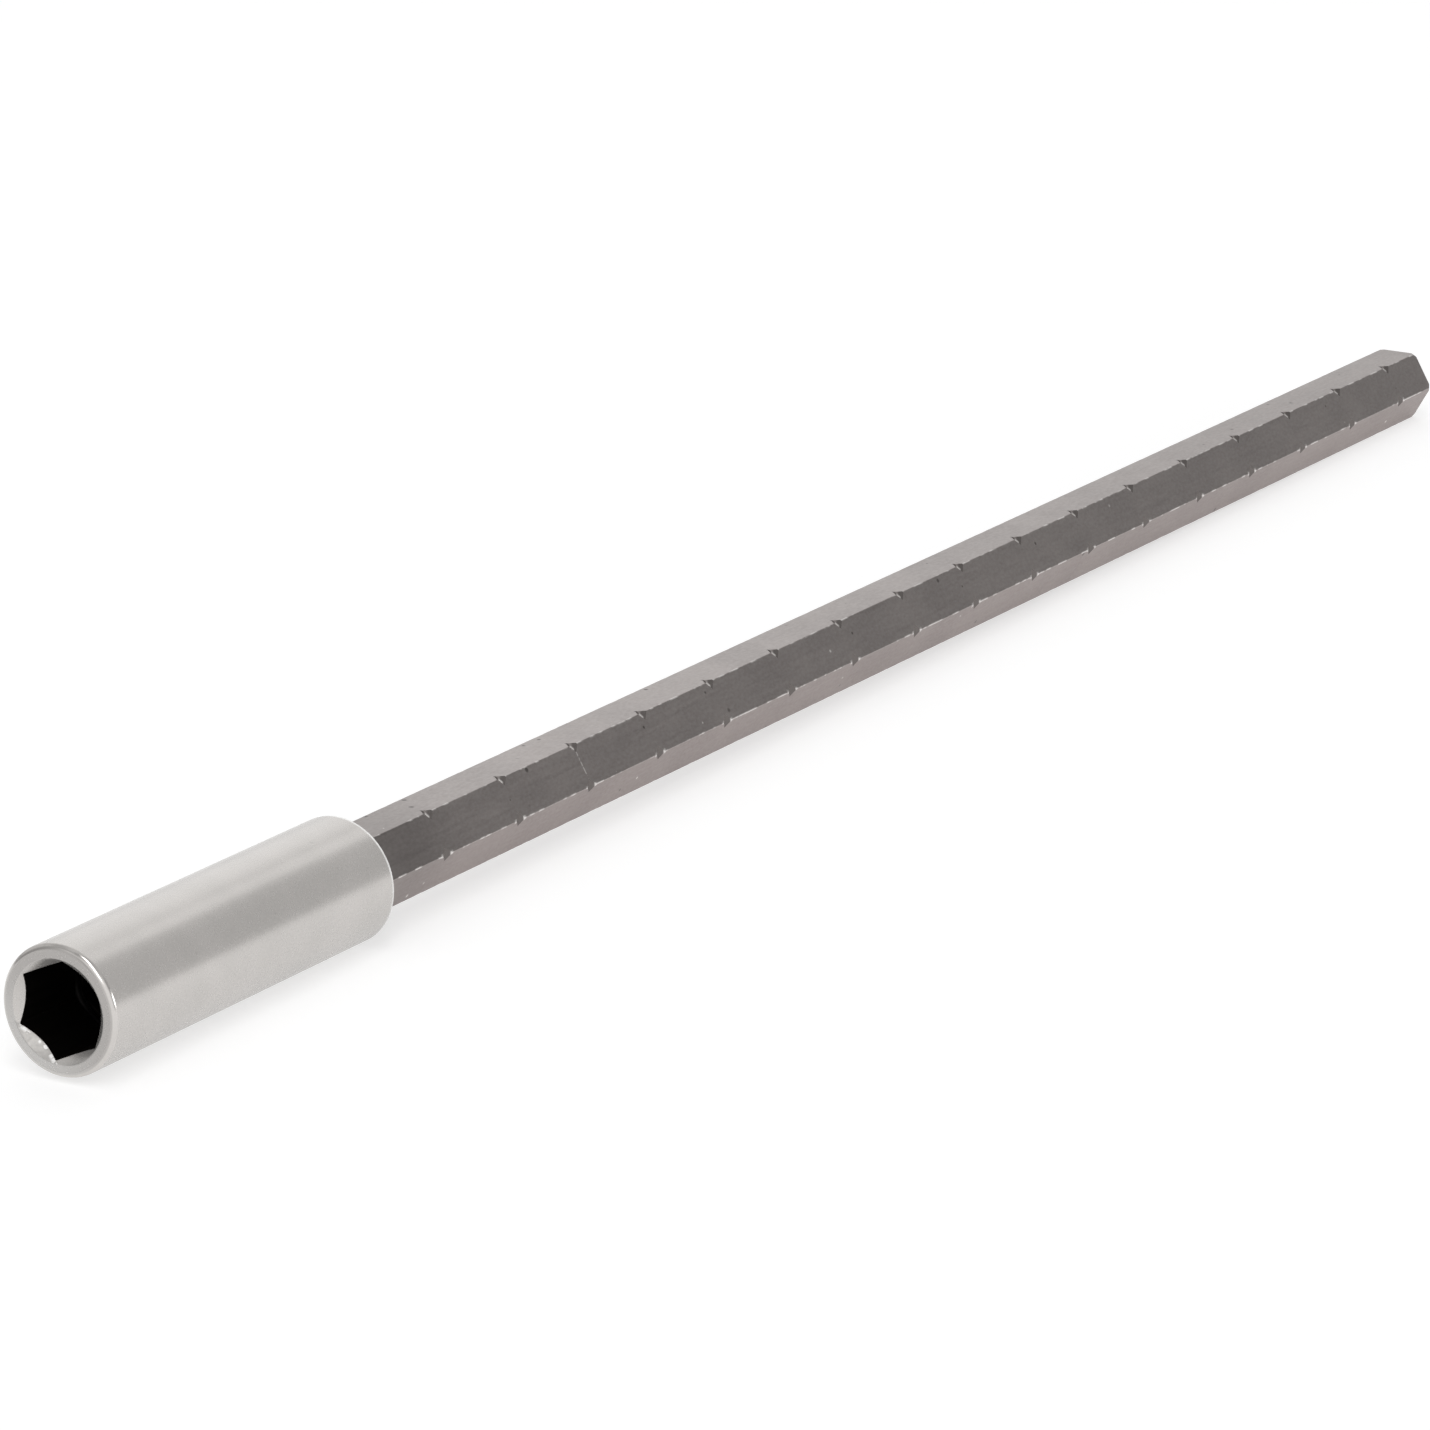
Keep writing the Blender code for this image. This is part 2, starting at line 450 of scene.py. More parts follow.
class Effect(Nodes):
    """Shader node group that works out a mask from the place on a piece and a few numbers."""

    def __init__(self, name: str, **inputs: float) -> None:
        """Starts the group.

        Args:
            name: Name of the group.
            **inputs: Its inputs with their usual values.
        """
        super().__init__(bpy.data.node_groups.new(name, "ShaderNodeTree"))
        sockets = self.tree.interface
        for key, value in inputs.items():
            number = sockets.new_socket(key, in_out="INPUT", socket_type="NodeSocketFloat")
            number.default_value = value
        sockets.new_socket("Mask", in_out="OUTPUT", socket_type="NodeSocketFloat")
        given = self.add("NodeGroupInput").outputs
        self.given = [Value(self, given[key]) for key in inputs]
        self.place = self.add("ShaderNodeTexCoord", "place on the piece").outputs["Object"]

    def put_out(self, mask: Value) -> None:
        """Puts the mask out of the group."""
        self.fill(self.add("NodeGroupOutput"), Mask=mask)


class Streaks(Effect):
    """Fine lines along or round the tool, by unlike scales along and across its axis."""

    def __init__(self) -> None:
        """Builds the group."""
        super().__init__("streaks", Along=100.0, Across=4000.0, Contrast=1.0)
        along, across, contrast = self.given
        scale = self.fill(self.add("ShaderNodeCombineXYZ"), X=along, Y=across, Z=across)["Vector"]
        lines = self.noise(self.vector("MULTIPLY", self.place, scale)["Vector"], scale=1.0, detail=3.0)
        strong = (lines - 0.5) * contrast + 0.5
        self.put_out(self.math("MINIMUM", strong | 0.0, 1.0))


class Specks(Effect):
    """Scattered small round marks, such as pits or dust."""

    def __init__(self) -> None:
        """Builds the group."""
        super().__init__("specks", Scale=900.0, Size=0.18, Share=0.2)
        scale, largest, share = self.given
        cells = self.fill(self.add("ShaderNodeTexVoronoi"), Vector=self.place, Scale=scale)
        lot = self.fill(self.add("ShaderNodeSeparateColor"), Color=cells["Color"])
        chosen = self.math("LESS_THAN", lot["Red"], share)
        size = largest * lot["Green"]
        self.put_out(Value(self, cells["Distance"]).ramp(size * 0.4, size, 1.0, 0.0) * chosen)


class RoundBand(Effect):
    """Mask that rises with the distance from the tool's axis, with a ragged edge."""

    def __init__(self) -> None:
        """Builds the group."""
        super().__init__("round_band", From=3.0 * MM, To=3.4 * MM, Ragged=0.0, Scale=600.0)
        start, end, ragged, scale = self.given
        flat = self.vector("MULTIPLY", self.place, (0.0, 1.0, 1.0))["Vector"]
        reach = Value(self, self.vector("LENGTH", flat)["Value"])
        shift = (self.noise(self.place, scale, detail=4.0) - 0.5) * ragged
        self.put_out((reach + shift).ramp(start, end))


class Drift(Effect):
    """Slow change of tone over the piece."""

    def __init__(self) -> None:
        """Builds the group."""
        super().__init__("drift", Scale=120.0)
        self.put_out(self.noise(self.place, self.given[0], detail=2.0).ramp(0.3, 0.7))


@dataclass
class EffectLibrary:
    """Surface effects that several finishes share, each a node group built once."""

    streaks: Effect = field(default_factory=Streaks)
    specks: Effect = field(default_factory=Specks)
    band: Effect = field(default_factory=RoundBand)
    drift: Effect = field(default_factory=Drift)


class Metal(Nodes):
    """Metal material under construction, with the shared effects at hand."""

    def __init__(self, name: str, effects: EffectLibrary) -> None:
        """Starts the material.

        Args:
            name: Name of the material.
            effects: Shared effects.
        """
        self.material = bpy.data.materials.new(name)
        self.material.use_nodes = True
        super().__init__(self.material.node_tree)
        self.shader = self.tree.nodes["Principled BSDF"]
        self.fill(self.shader, Metallic=1.0)
        self.effects = effects

    @cached_property
    def spot(self) -> Outputs:
        """Place on the piece and the way that it looks there."""
        return self.add("ShaderNodeTexCoord", "place on the piece").outputs

    def towards(self, way: Way) -> Value:
        """Measures the place along a direction."""
        return self.along(self.spot["Object"], way)

    def facing(self, way: Way) -> Value:
        """Measures how far the surface looks in a direction."""
        return self.along(self.spot["Normal"], way)

    def effect(self, group: Effect, label: str, **values: float) -> Value:
        """Places a shared effect, with its own values, and gives its mask."""
        node = self.add("ShaderNodeGroup", label, node_tree=group.tree)
        return Value(self, self.fill(node, **values)["Mask"])

    def streaks(self, label: str, along: float, across: float, contrast: float) -> Value:
        """Lines or grain, by its scales along and across the tool's axis."""
        return self.effect(self.effects.streaks, label, Along=along, Across=across, Contrast=contrast)

    def specks(self, label: str, scale: float, size: float, share: float) -> Value:
        """Small round marks in a share of the cells of a scale."""
        return self.effect(self.effects.specks, label, Scale=scale, Size=size, Share=share)

    def band(self, label: str, start: float, end: float, ragged: float = 0.0, scale: float = 600.0) -> Value:
        """What lies further from the tool's axis than a ragged line between two radii."""
        return self.effect(self.effects.band, label, From=start, To=end, Ragged=ragged, Scale=scale)

    def drift(self, label: str, scale: float) -> Value:
        """Slow change of tone."""
        return self.effect(self.effects.drift, label, Scale=scale)

    def finish(self, colour: Socket, roughness: Value, height: Value, depth: float) -> Material:
        """Wires the shader.

        Args:
            colour: Base colour.
            roughness: Roughness.
            height: Height of the fine relief.
            depth: What a height of 1 stands for, or 0 for no relief.

        Returns:
            The finished material.
        """
        self.fill(self.shader, Base_Color=colour, Roughness=roughness)
        if depth > 0.0:
            bump = self.add("ShaderNodeBump", "relief")
            relief = self.fill(bump, Strength=1.0, Distance=depth, Height=height)
            self.fill(self.shader, Normal=relief["Normal"])
        return self.material


@dataclass(frozen=True)
class SatinPlate:
    """Satin plating on the sleeve's outside and in its countersink."""

    plate: Colour = (0.635, 0.608, 0.585)
    cloud: Colour = (0.597, 0.574, 0.551)
    grain: Colour = (0.78, 0.757, 0.733)
    speck: Colour = (0.40, 0.39, 0.375)
    end_face: Colour = (0.455, 0.436, 0.420)
    # Lighter end face tone, painted light on the side towards the burred way.
    painted_light_face: Colour = (0.575, 0.562, 0.546)
    # Near white, for painted highlights on the rear edge and painted glints in the countersink.
    painted_highlight: Colour = (0.96, 0.95, 0.935)
    broached: Colour = (0.38, 0.37, 0.355)
    metallic: float = 0.55
    painted_highlight_metallic: float = 0.15
    polished_metallic: float = 0.9
    roughness: float = 0.22
    grain_roughness: float = 0.08
    broached_roughness: float = 0.25
    polish: float = 0.10
    grain_share: float = 0.10
    speck_share: float = 0.25
    lathe_share: float = 0.6
    grain_depth: float = 0.00025 * MM
    burr_height: float = 40.0

    def make(self, effects: EffectLibrary, sleeve: "SocketSleeve") -> Material:
        """Builds the material.

        Args:
            effects: Shared effects.
            sleeve: The sleeve, for the places of its edges.

        Returns:
            The material.
        """
        metal = Metal("satin_plate", effects)
        satin = metal.streaks("satin grain", along=3600.0, across=3600.0, contrast=1.5)
        lathe = metal.streaks("lathe lines", along=6000.0, across=260.0, contrast=1.4)
        specks = metal.specks("dull specks", scale=700.0, size=0.16, share=0.25)
        end_face = metal.facing(TO_TAIL).ramp(-0.95, -0.80, 1.0, 0.0)
        # The end face is painted lighter towards the burred way, as painted light from that side.
        rubbed = metal.towards(sleeve.burred_way).ramp(-0.2 * sleeve.radius, sleeve.radius)
        painted_light_face = metal.lay(self.end_face, ("rubbed side", rubbed, self.painted_light_face))
        rim = self._polished_rim(metal, sleeve)
        side, burrs, glints, painted_shade = self._countersink(metal, sleeve)
        # Painted highlight along the rear edge and painted glints on the burred side of the countersink.
        painted_highlight = self._rear_highlight(metal, sleeve) | glints
        colour = metal.lay(
            self.plate,
            ("clouded plate", metal.drift("clouds", 220.0), self.cloud),
            ("satin grain", satin * self.grain_share, self.grain),
            ("dull specks", specks * self.speck_share, self.speck),
            ("duller end face", end_face, painted_light_face),
            ("broached or stained", burrs * 0.5 + side * 0.25 | painted_shade, self.broached),
            ("scuffed metal", painted_highlight, self.painted_highlight),
        )
        shine = painted_highlight * (self.painted_highlight_metallic - self.metallic) + self.metallic
        metal.fill(metal.shader, Metallic=shine + rim * (self.polished_metallic - self.metallic))
        rough = satin * self.grain_roughness + self.roughness
        rough = rough + side * self.broached_roughness - rim * self.polish
        smooth = 1.0 - end_face * 0.6
        height = (satin + lathe * self.lathe_share) * smooth + burrs * self.burr_height
        return metal.finish(colour, rough, height, self.grain_depth)

    @staticmethod
    def _polished_rim(metal: Metal, sleeve: "SocketSleeve") -> Value:
        """Mask of the rounded rim of the mouth, polished by handling.

        Args:
            metal: The material.
            sleeve: The sleeve.

        Returns:
            The mask.
        """
        width = sleeve.rim_fillet
        outer = metal.band("round the end face", sleeve.radius - 0.95 * width, sleeve.radius - 0.70 * width)
        front = metal.towards(TO_TAIL).ramp(sleeve.mouth + 0.6 * width, sleeve.mouth + width, 1.0, 0.0)
        return outer * front

    @staticmethod
    def _rear_highlight(metal: Metal, sleeve: "SocketSleeve") -> Value:
        """Mask of a painted highlight along the rear edge.

        Args:
            metal: The material.
            sleeve: The sleeve.

        Returns:
            The mask.
        """
        width = sleeve.rear_round
        outer = metal.band("outer edge", sleeve.radius - 1.3 * width, sleeve.radius - 0.9 * width)
        rear = metal.towards(TO_TAIL).ramp(sleeve.rear - 1.9 * width, sleeve.rear - 1.3 * width)
        patches = metal.streaks("patches", along=1500.0, across=1500.0, contrast=2.0)
        return outer * rear * patches.ramp(0.1, 0.6, 0.7, 1.0)

    @staticmethod
    def _countersink(metal: Metal, sleeve: "SocketSleeve") -> tuple[Value, ...]:
        """Burrs that broaching left on one side of the countersink, with painted glints, and painted shade
        on another.

        Args:
            metal: The material.
            sleeve: The sleeve.

        Returns:
            The mask of the burred side, the height of its burrs, and the masks of the painted glints and of
            the painted shade.
        """
        flat = sleeve.socket_flats / 2
        reach = sleeve.countersink
        inside = 1.0 - metal.band("outside the countersink", reach, reach + sleeve.countersink_edge)
        towards = metal.towards(sleeve.burred_way)
        side = towards.ramp(flat - 0.04 * MM, flat + 0.02 * MM) * inside
        burrs = side * metal.streaks("burrs", along=2600.0, across=2600.0, contrast=2.5)
        near = towards.ramp(flat + 0.12 * MM, flat + 0.30 * MM, 1.0, 0.0)
        # Painted glints: near-white dots along the edge of the burred flat.
        glints = metal.specks("glints", scale=3200.0, size=1.3, share=0.8) * near * side
        # Painted shade on one side of the countersink, fading out towards the other.
        shaded = metal.towards(sleeve.unshaded_way).ramp(-0.6 * reach, -0.1 * reach, 0.8, 0.0)
        return side, burrs, glints, shaded * inside


@dataclass(frozen=True)
class DrawnSteel:
    """Grey drawn tool steel of the shank, with small pits, dings, edge wear, painted shade and painted
    highlights.
    """

    dark: Colour = (0.294, 0.263, 0.254)
    light: Colour = (0.377, 0.339, 0.325)
    # Pale steel for grain, dings, edge wear and the scribed line, and for painted highlights in the nicks.
    pale_steel: Colour = (0.70, 0.67, 0.65)
    # Tone of painted shade: in the nicks, next to the sleeve and on the front flat.
    sunk: Colour = (0.13, 0.118, 0.112)
    pit: Colour = (0.09, 0.08, 0.075)
    # Dark reddish tone for painted shade on the faces that look down.
    underside_shade: Colour = (0.10, 0.030, 0.020)
    underside_shade_share: float = 0.33
    grain_share: float = 0.20
    pit_share: float = 0.8
    pit_depth: float = 2.0
    roughness: float = 0.30
    line_roughness: float = 0.12
    relief: float = 0.004 * MM

    def make(self, effects: EffectLibrary, shank: "HexShank") -> Material:
        """Builds the material.

        Args:
            effects: Shared effects.
            shank: The shank, for the places of its edges and nicks.

        Returns:
            The material.
        """
        metal = Metal("drawn_steel", effects)
        drawn = metal.streaks("drawing lines", along=150.0, across=5000.0, contrast=1.5)
        grain = metal.streaks("fine grain", along=2600.0, across=4200.0, contrast=2.2)
        pits = metal.specks("pits", scale=620.0, size=0.20, share=0.40)
        tone = drawn * 0.5 + metal.drift("uneven grey", 180.0) * 0.5
        # Painted shade on the faces that look down.
        below = metal.facing(UP).ramp(-0.45, -0.30, self.underside_shade_share, 0.0)
        from_first = metal.towards(TO_TAIL) - shank.first_notch
        from_nick = metal.math("PINGPONG", from_first, shank.notch_pitch / 2)
        # Along the nicks' bottom line: a stretch of painted highlight and a stretch of painted shade.
        bright, dark = self._nick_bottoms(metal, shank, from_nick)
        bright = bright | self._worn_edges(metal, shank) | self._burrs(metal, shank, from_nick)
        colour = metal.lay(
            self.dark,
            ("steel", tone, self.light),
            ("fine grain", grain * self.grain_share, self.pale_steel),
            ("film below", below, self.underside_shade),
            # Painted shade next to the sleeve and on the front flat.
            ("dull steel", self._shaded_parts(metal, shank), self.sunk),
            # Painted shade in the nicks: on their flanks and on the dark stretch of their bottom line.
            ("dark nicks", self._shaded_flanks(metal, shank) | dark, self.sunk),
            ("pits", pits * self.pit_share, self.pit),
            # Dings, edge wear and the scribed line, with painted highlights at the nicks' bottoms and on the
            # burrs.
            ("bright metal", bright | self._scribe(metal, shank, grain), self.pale_steel),
        )
        rough = drawn * self.line_roughness + self.roughness
        return metal.finish(colour, rough, drawn + grain - pits * self.pit_depth, self.relief)

    @staticmethod
    def _shaded_parts(metal: Metal, shank: "HexShank") -> Value:
        """Mask of painted shade on the steel next to the sleeve and on the front flat."""
        near = metal.towards(TO_TAIL).ramp(shank.shoulder + 4.0 * MM, shank.shoulder + 14.0 * MM, 0.30, 0.0)
        return near + metal.facing(shank.front_way).ramp(0.9, 0.97, 0.0, 0.2)

    @staticmethod
    def _shaded_flanks(metal: Metal, shank: "HexShank") -> Value:
        """Mask of painted shade on faces that lean towards the mouth, the nicks' flanks, with less of it
        near the top.

        Args:
            metal: The material.
            shank: The shank.

        Returns:
            The mask.
        """
        half = shank.flats / 2
        flank = metal.facing(TO_TAIL).ramp(-0.32, -0.15, 0.9, 0.0)
        off_front = metal.towards(shank.front_way).ramp(0.88 * half, 0.93 * half, 0.75, 0.0)
        upper = metal.facing(UP).ramp(0.35, 0.75)
        return flank * (1.0 - off_front * upper)

    @staticmethod
    def _worn_edges(metal: Metal, shank: "HexShank") -> Value:
        """Mask of dings and of the patches of edge wear, where the shank's edges are bright.

        Args:
            metal: The material.
            shank: The shank.

        Returns:
            The mask.
        """
        dings = metal.specks("dings", scale=480.0, size=0.11, share=0.50)
        start, end = shank.edge - 0.04 * MM, shank.edge - 0.01 * MM
        edges = metal.band("edges", start, end, ragged=0.03 * MM, scale=1400.0)
        return dings | edges * metal.drift("patches", 650.0).ramp(0.50, 0.90, 0.0, 0.9)

    @staticmethod
    def _burrs(metal: Metal, shank: "HexShank", from_nick: Value) -> Value:
        """Mask of the burrs at both ends of the nicks on two opposite corners, painted bright as glints.

        Args:
            metal: The material.
            shank: The shank.
            from_nick: Distance from the nearest nick's middle.

        Returns:
            The mask.
        """
        at_end = abs(from_nick - shank.notch_length / 2).ramp(0.05 * MM, 0.25 * MM, 1.0, 0.0)
        start, end = shank.edge - 0.10 * MM, shank.edge - 0.02 * MM
        ragged = metal.band("ragged edge", start, end, ragged=0.25 * MM, scale=2200.0)
        burred = abs(metal.towards(shank.burred_way)).ramp(0.8 * shank.edge, 0.9 * shank.edge)
        return at_end * ragged * burred

    @staticmethod
    def _nick_bottoms(metal: Metal, shank: "HexShank", from_nick: Value) -> tuple[Value, Value]:
        """Masks of the painted highlight and the painted shade along the bottom of the nicks on the upper
        front corner.

        Args:
            metal: The material.
            shank: The shank.
            from_nick: Distance from the nearest nick's middle.

        Returns:
            The painted highlight stretch of the line and its painted shade stretch.
        """
        bottom = shank.edge - shank.notch_depth
        half = shank.flats / 2
        sunk = metal.towards(shank.upper_way).ramp(bottom - 0.06 * MM, bottom - 0.01 * MM)
        line = from_nick.ramp(0.04 * MM, 0.17 * MM, 0.9, 0.0) * sunk
        front = metal.towards(shank.front_way)
        begun = front.ramp(0.875 * half, 0.90 * half)
        not_ended = front.ramp(0.945 * half, 0.975 * half, 1.0, 0.0)
        return line * begun * not_ended, line * (1.0 - begun)

    @staticmethod
    def _scribe(metal: Metal, shank: "HexShank", grain: Value) -> Value:
        """Mask of the fine line across the flat that faces front and up.

        Args:
            metal: The material.
            shank: The shank.
            grain: Grain that breaks the line up.

        Returns:
            The mask.
        """
        from_line = abs(metal.towards(TO_TAIL) - shank.notch_at(shank.scribed_notch))
        on_flat = metal.facing(shank.front_way).ramp(0.9, 0.97)
        return from_line.ramp(0.03 * MM, 0.09 * MM, 0.9, 0.0) * grain.ramp(0.25, 0.6) * on_flat


@dataclass(frozen=True)
class TwoTone:
    """Metal of two tones, mixed by streaks that also change its gloss."""

    name: str
    first: Colour
    second: Colour
    along: float
    across: float
    contrast: float
    first_roughness: float
    second_roughness: float
    depth: float = 0.0

    def make(self, effects: EffectLibrary) -> Material:
        """Builds the material.

        Args:
            effects: Shared effects.

        Returns:
            The material.
        """
        metal = Metal(self.name, effects)
        streaks = metal.streaks("streaks", self.along, self.across, self.contrast)
        colour = metal.lay(self.first, ("second tone", streaks, self.second))
        rough = streaks * (self.second_roughness - self.first_roughness) + self.first_roughness
        return metal.finish(colour, rough, streaks, self.depth)


@dataclass(frozen=True)
class PlainMetal:
    """Metal of the small pieces in the socket, with lines, specks and a rubbed edge."""

    name: str
    colour: Colour
    cloud: Colour
    rubbed: Colour
    roughness: float
    along: float
    across: float
    rubbed_from: float
    rubbed_to: float
    speck: Colour = (0.02, 0.02, 0.02)
    speck_share: float = 0.5
    rubbed_share: float = 0.6
    line_roughness: float = 0.15
    line_depth: float = 0.002 * MM

    def make(self, effects: EffectLibrary) -> Material:
        """Builds the material.

        Args:
            effects: Shared effects.

        Returns:
            The material.
        """
        metal = Metal(self.name, effects)
        lines = metal.streaks("lines", self.along, self.across, contrast=1.5)
        specks = metal.specks("specks", scale=1800.0, size=0.25, share=0.15)
        edge = metal.band("rubbed edge", self.rubbed_from, self.rubbed_to, ragged=0.15 * MM, scale=1200.0)
        colour = metal.lay(
            self.colour,
            ("clouds", metal.drift("clouds", 500.0), self.cloud),
            ("specks", specks * self.speck_share, self.speck),
            ("rubbed", edge * self.rubbed_share, self.rubbed),
        )
        return metal.finish(colour, lines * self.line_roughness + self.roughness, lines, self.line_depth)


@dataclass
class SocketSleeve:
    """Plated sleeve: rounded rim, countersunk hexagon socket, ring groove and bore.

    The two ways lead from the axis to two sides of the countersink: the burred side, and the side opposite
    its painted shade.
    """

    mouth: float
    rear: float
    radius: float
    socket_flats: float = 6.4 * MM
    socket_turn: float = math.radians(-24.0)
    socket_corner: float = 0.12 * MM
    socket_relief: float = 0.2 * MM
    countersink: float = 3.85 * MM
    countersink_edge: float = 0.12 * MM
    rim_fillet: float = 0.5 * MM
    rear_round: float = 0.2 * MM
    bore: float = 2.75 * MM
    bore_chamfer: float = 0.3 * MM
    groove: float = 4.2 * MM
    groove_middle: float = -6.0 * MM
    groove_half_width: float = 0.45 * MM
    burred_way: Way = around(-54.0)
    # Painted shade lies on the countersink's side away from this way.
    unshaded_way: Way = around(10.0)
    steps: int = 160
    edge_softness: float = 0.05 * MM
    finish: SatinPlate = SatinPlate()
    # Near-black tones of the bore, groove and socket walls: painted shade deep in the socket.
    bore_finish: TwoTone = TwoTone(
        "shaded_bore", first=(0.006, 0.005, 0.004), second=(0.017, 0.014, 0.012), along=150.0, across=6000.0,
        contrast=1.6, first_roughness=0.5, second_roughness=0.65, depth=0.002 * MM)

    @property
    def countersink_end(self) -> float:
        """Height at which the countersink meets the bore."""
        return self.mouth + self.countersink - self.bore

    def _profile(self) -> Points:
        """Turned profile, from the rear down the outside and back up the bore.

        Returns:
            Its points.
        """
        lean = math.tan(math.radians(22.5))
        turn = self.countersink_edge
        rear_centre = (self.radius - self.rear_round, self.rear - self.rear_round)
        rim_centre = (self.radius - self.rim_fillet, self.mouth + self.rim_fillet)
        points = arc(rear_centre, self.rear_round, 90.0, 0.0, steps=8)
        points += arc(rim_centre, self.rim_fillet, 0.0, -90.0, steps=12)
        edge_centre = (self.countersink + turn * lean, self.mouth + turn)
        points += arc(edge_centre, turn, -90.0, -135.0, steps=4)
        groove_front = self.groove_middle - self.groove_half_width
        groove_rear = self.groove_middle + self.groove_half_width
        points += [(self.bore, self.countersink_end), (self.bore, groove_front), (self.groove, groove_front)]
        points += [(self.groove, groove_rear), (self.bore, groove_rear)]
        points += [(self.bore, self.rear - self.bore_chamfer), (self.bore + self.bore_chamfer, self.rear)]
        return points

    def build(self) -> Object:
        """Builds the sleeve's mesh.

        Returns:
            The sleeve.
        """
        sleeve = turned("sleeve", self._profile(), self.steps, closed=True)
        outline = hexagon(self.socket_flats, self.socket_corner, steps=3, turn=self.socket_turn)
        socket = prism("socket", outline, self.mouth - self.socket_flats, self.socket_relief)
        combine(sleeve, socket, Cut.AWAY)
        soften(sleeve, self.edge_softness, angle=33.0)
        empty_slots(sleeve, 2)
        for face in sleeve.data.polygons:
            face.material_index = int(self._in_socket(face))
        lay_and_shade(sleeve, sharp_angle=40.0)
        return sleeve

    def _in_socket(self, face: bpy.types.MeshPolygon) -> bool:
        """Whether a face of the upright sleeve lies in the socket, behind the countersink.

        Args:
            face: The face.

        Returns:
            True inside the socket, the groove and the bore.
        """
        deep = face.center.z > self.countersink_end
        on_wall = face.normal.z > -0.5 and face.center.z > self.mouth + self.countersink_edge
        narrow = face.center.xy.length < self.groove + self.edge_softness
        return narrow and (deep or on_wall) and face.center.z < self.rear - 2 * self.bore_chamfer

    def dress(self, sleeve: Object, effects: EffectLibrary) -> None:
        """Gives the sleeve its finishes."""
        sleeve.data.materials[0] = self.finish.make(effects, self)
        sleeve.data.materials[1] = self.bore_finish.make(effects)


@dataclass
class HexShank:
    """Hexagon bar with nicked corners, a chamfered tail and a ribbed spigot in the sleeve.

    The upper and the burred way lead from the axis to nicked corners, the front way to the flat between.
    """

    shoulder: float
    tail: float
    spigot_front: float
    flats: float
    first_notch: float = 30.8 * MM
    notch_pitch: float = 10.0 * MM
    notch_count: int = 17
    notch_length: float = 1.25 * MM
    notch_depth: float = 0.3 * MM
    nicked_corners: tuple[int, ...] = (1, 2, 4, 5)
    plain_corner: float = math.radians(150.0)
    corner_radius: float = 0.1 * MM
    tail_chamfer: float = 0.15 * MM
    tail_chamfer_length: float = 0.3 * MM
    spigot_radius: float = 2.7 * MM
    rib_count: int = 30
    rib_depth: float = 0.12 * MM
    pilot_length: float = 2.0 * MM
    scribed_notch: int = 2
    upper_way: Way = around(120.0)
    front_way: Way = around(150.0)
    burred_way: Way = around(180.0)
    finish: DrawnSteel = DrawnSteel()

    @property
    def edge(self) -> float:
        """Distance of the rounded edges from the axis."""
        return self.flats / 2 / COS_30 - self.corner_radius * (1.0 / COS_30 - 1.0)

    def notch_at(self, index: int) -> float:
        """Place of a ring of nicks along the tool."""
        return self.first_notch + index * self.notch_pitch

    def _notch_bars(self) -> Object:
        """Diamond bars across four of the six corners, centred on the edges that they cut.

        Returns:
            All the bars as one object.
        """
        shape = bmesh.new()
        squash = Matrix.Diagonal((self.notch_depth, self.flats / 2, self.notch_length / 2, 1.0))
        across = Matrix.Rotation(math.pi / 2, 4, "X")
        bar = {"segments": 4, "radius1": 1.0, "radius2": 1.0, "depth": 1.0}
        for corner in self.nicked_corners:
            turn = Matrix.Rotation(self.plain_corner + corner * SIXTH_TURN, 4, "Z")
            for index in range(self.notch_count):
                lie = turn @ Matrix.Translation((self.edge, 0.0, self.notch_at(index))) @ squash @ across
                bmesh.ops.create_cone(shape, cap_ends=True, matrix=lie, **bar)
        return from_shape("notch_bars", shape)

    def _tail_cutter(self) -> Object:
        """Cone-shaped ring that breaks the corners of the tail.

        Returns:
            The cutter.
        """
        spare = self.flats / 4
        inside = self.edge - self.tail_chamfer
        outside = self.edge + spare
        slope = self.tail_chamfer_length / self.tail_chamfer
        low = self.tail - (outside - inside) * slope
        profile = [(outside, self.tail + spare), (outside, low), (inside - spare / slope, self.tail + spare)]
        return turned("tail_cutter", profile, steps=96, closed=True)

    def _spigot(self) -> Object:
        """Ribbed spigot with a plain end, reaching into the bar.

        Returns:
            The spigot.
        """
        count = 2 * self.rib_count
        end = self.shoulder + self.flats / 2
        root = self.spigot_radius - self.rib_depth
        ways = [(math.cos(2 * math.pi * i / count), math.sin(2 * math.pi * i / count)) for i in range(count)]
        radii = [self.spigot_radius - self.rib_depth * (i % 2) for i in range(count)]
        ribs = [(radius * x, radius * y) for radius, (x, y) in zip(radii, ways)]
        spigot = prism("spigot", ribs, self.spigot_front + self.pilot_length, end)
        pilot = prism("pilot", [(root * x, root * y) for x, y in ways], self.spigot_front, end)
        combine(spigot, pilot, Cut.JOIN)
        return spigot

    def build(self) -> Object:
        """Builds the shank's mesh.

        Returns:
            The shank.
        """
        outline = hexagon(self.flats, self.corner_radius, steps=4)
        shank = prism("shank", outline, self.shoulder, self.tail)
        combine(shank, self._spigot(), Cut.JOIN)
        combine(shank, self._notch_bars(), Cut.AWAY)
        combine(shank, self._tail_cutter(), Cut.AWAY)
        self._divide(shank)
        empty_slots(shank, 1)
        lay_and_shade(shank, sharp_angle=18.0)
        return shank

    def _divide(self, shank: Object) -> None:
        """Divides the long flats half-way between the nicks, so that no face is long and thin.

        Args:
            shank: The upright shank.
        """
        shape = bmesh.new()
        shape.from_mesh(shank.data)
        for index in range(1, self.notch_count):
            middle = (self.notch_at(index - 1) + self.notch_at(index)) / 2
            everything = shape.verts[:] + shape.edges[:] + shape.faces[:]
            plane = {"plane_co": (0.0, 0.0, middle), "plane_no": UP}
            bmesh.ops.bisect_plane(shape, geom=everything, dist=TOUCHING, **plane)
        shape.to_mesh(shank.data)
        shape.free()

    def dress(self, shank: Object, effects: EffectLibrary) -> None:
        """Gives the shank its finish."""
        shank.data.materials[0] = self.finish.make(effects, self)


